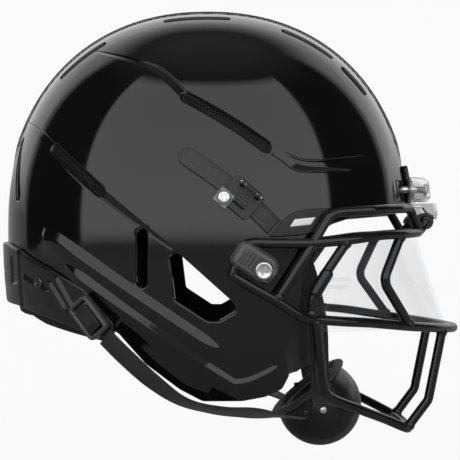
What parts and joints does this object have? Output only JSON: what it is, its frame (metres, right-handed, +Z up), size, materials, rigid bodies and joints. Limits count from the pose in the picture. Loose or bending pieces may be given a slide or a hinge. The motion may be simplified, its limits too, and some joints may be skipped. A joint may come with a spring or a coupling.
{
  "type": "american football helmet",
  "caption": "Vented hard-shell football helmet with hinged wire face mask, clear visor, liner pads, cam levers and a strapped chin cup.",
  "frame": {"origin": "on the middle plane, at the centre of the head cavity", "axes": "+X the way the wearer faces, +Y the wearer's left, +Z up"},
  "size_m": [0.3245, 0.2582, 0.3096],
  "materials": {
    "shell_gloss": "high-gloss clear-coated black polycarbonate shell",
    "screen_mesh": "black honeycomb vent screen",
    "bumper_satin": "satin moulded black bumper",
    "nape_rubber": "ribbed soft black rubber",
    "steel": "polished stainless fasteners",
    "clear_plastic": "clear moulded polycarbonate",
    "cam_plastic": "satin black moulded nylon",
    "panel_satin": "satin charcoal panel",
    "pad_vinyl": "dark grey vinyl over foam",
    "strap_coated": "smooth coated strap",
    "strap_web": "woven nylon webbing",
    "mask_wire": "gloss black powder-coated steel wire",
    "visor_clear": "clear curved polycarbonate sheet",
    "cup_plastic": "semi-gloss black hard cup",
    "cup_foam": "soft fabric-faced foam"
  },
  "bodies": {
    "shell": {"outer_shell": "shell_gloss", "vent_screens": "screen_mesh", "rear_bumper": "bumper_satin", "rear_bumper_screws": "steel", "nape_pad": "nape_rubber", "front_bumper": "bumper_satin", "front_clip_bodies": "clear_plastic", "front_clip_hooks": "cam_plastic", "front_clip_screws": "steel", "side_panel_right": "panel_satin", "side_panel_left": "panel_satin", "crown_pad": "pad_vinyl", "front_pad": "pad_vinyl", "back_pad": "pad_vinyl", "side_pad_right": "pad_vinyl", "side_pad_left": "pad_vinyl", "jaw_pad_right": "pad_vinyl", "jaw_pad_left": "pad_vinyl", "jaw_pad_snaps": "cam_plastic", "cam_base_right": "cam_plastic", "cam_base_left": "cam_plastic", "cam_pins": "steel", "cam_screws": "steel", "cam_washers": "clear_plastic", "high_strap_right": "strap_coated", "high_strap_left": "strap_coated", "buckle_frame_right": "cam_plastic", "buckle_frame_left": "cam_plastic", "buckle_pins": "steel", "clip_receptacles": "cam_plastic", "upper_strap_right": "strap_web", "upper_strap_left": "strap_web", "lower_strap_right": "strap_web", "lower_strap_left": "strap_web"},
    "mask": {"face_mask": "mask_wire", "side_clip_right": "clear_plastic", "side_clip_left": "clear_plastic", "visor": "visor_clear", "visor_clips": "cam_plastic"},
    "chin": {"chin_cup": "cup_plastic", "chin_pad": "cup_foam", "chin_rivets": "steel"},
    "release_button_right": {"release_button_right": "steel"},
    "cam_lever_right": {"cam_lever_right": "cam_plastic"},
    "buckle_lever_right": {"buckle_lever_right": "cam_plastic"},
    "release_button_left": {"release_button_left": "steel"},
    "cam_lever_left": {"cam_lever_left": "cam_plastic"},
    "buckle_lever_left": {"buckle_lever_left": "cam_plastic"}
  },
  "joints": [
    {"name": "mask_swing", "type": "hinge", "parent": "shell", "child": "mask", "pos_m": [0.151, 0, 0.013], "axis": [0, -1, 0], "range_deg": [0, 75]},
    {"name": "chin_swing", "type": "hinge", "parent": "shell", "child": "chin", "pos_m": [0.08, 0, -0.117], "axis": [0, -1, 0], "range_deg": [-10, 10], "deforming": ["upper_strap_right", "upper_strap_left", "lower_strap_right", "lower_strap_left"]},
    {"name": "release_button_right_press", "type": "slide", "parent": "mask", "child": "release_button_right", "axis": [-0.1411, 0.9892, 0.04], "range_m": [0, 0.002], "stiffness_N_per_m": 800},
    {"name": "cam_lever_right_flip", "type": "hinge", "parent": "shell", "child": "cam_lever_right", "pos_m": [0.02876, -0.12113, 0.03233], "axis": [-0.7623, -0.0389, 0.6461], "range_deg": [0, 60]},
    {"name": "buckle_lever_right_flip", "type": "hinge", "parent": "shell", "child": "buckle_lever_right", "pos_m": [-0.08003, -0.10768, -0.04371], "axis": [-0.6918, 0.3851, -0.6109], "range_deg": [0, 55]},
    {"name": "release_button_left_press", "type": "slide", "parent": "mask", "child": "release_button_left", "axis": [-0.1411, -0.9892, 0.04], "range_m": [0, 0.002], "stiffness_N_per_m": 800},
    {"name": "cam_lever_left_flip", "type": "hinge", "parent": "shell", "child": "cam_lever_left", "pos_m": [0.02876, 0.12113, 0.03233], "axis": [0.7623, -0.0389, -0.6461], "range_deg": [0, 60]},
    {"name": "buckle_lever_left_flip", "type": "hinge", "parent": "shell", "child": "buckle_lever_left", "pos_m": [-0.08003, 0.10768, -0.04371], "axis": [0.6918, 0.3851, 0.6109], "range_deg": [0, 55]}
  ]
}
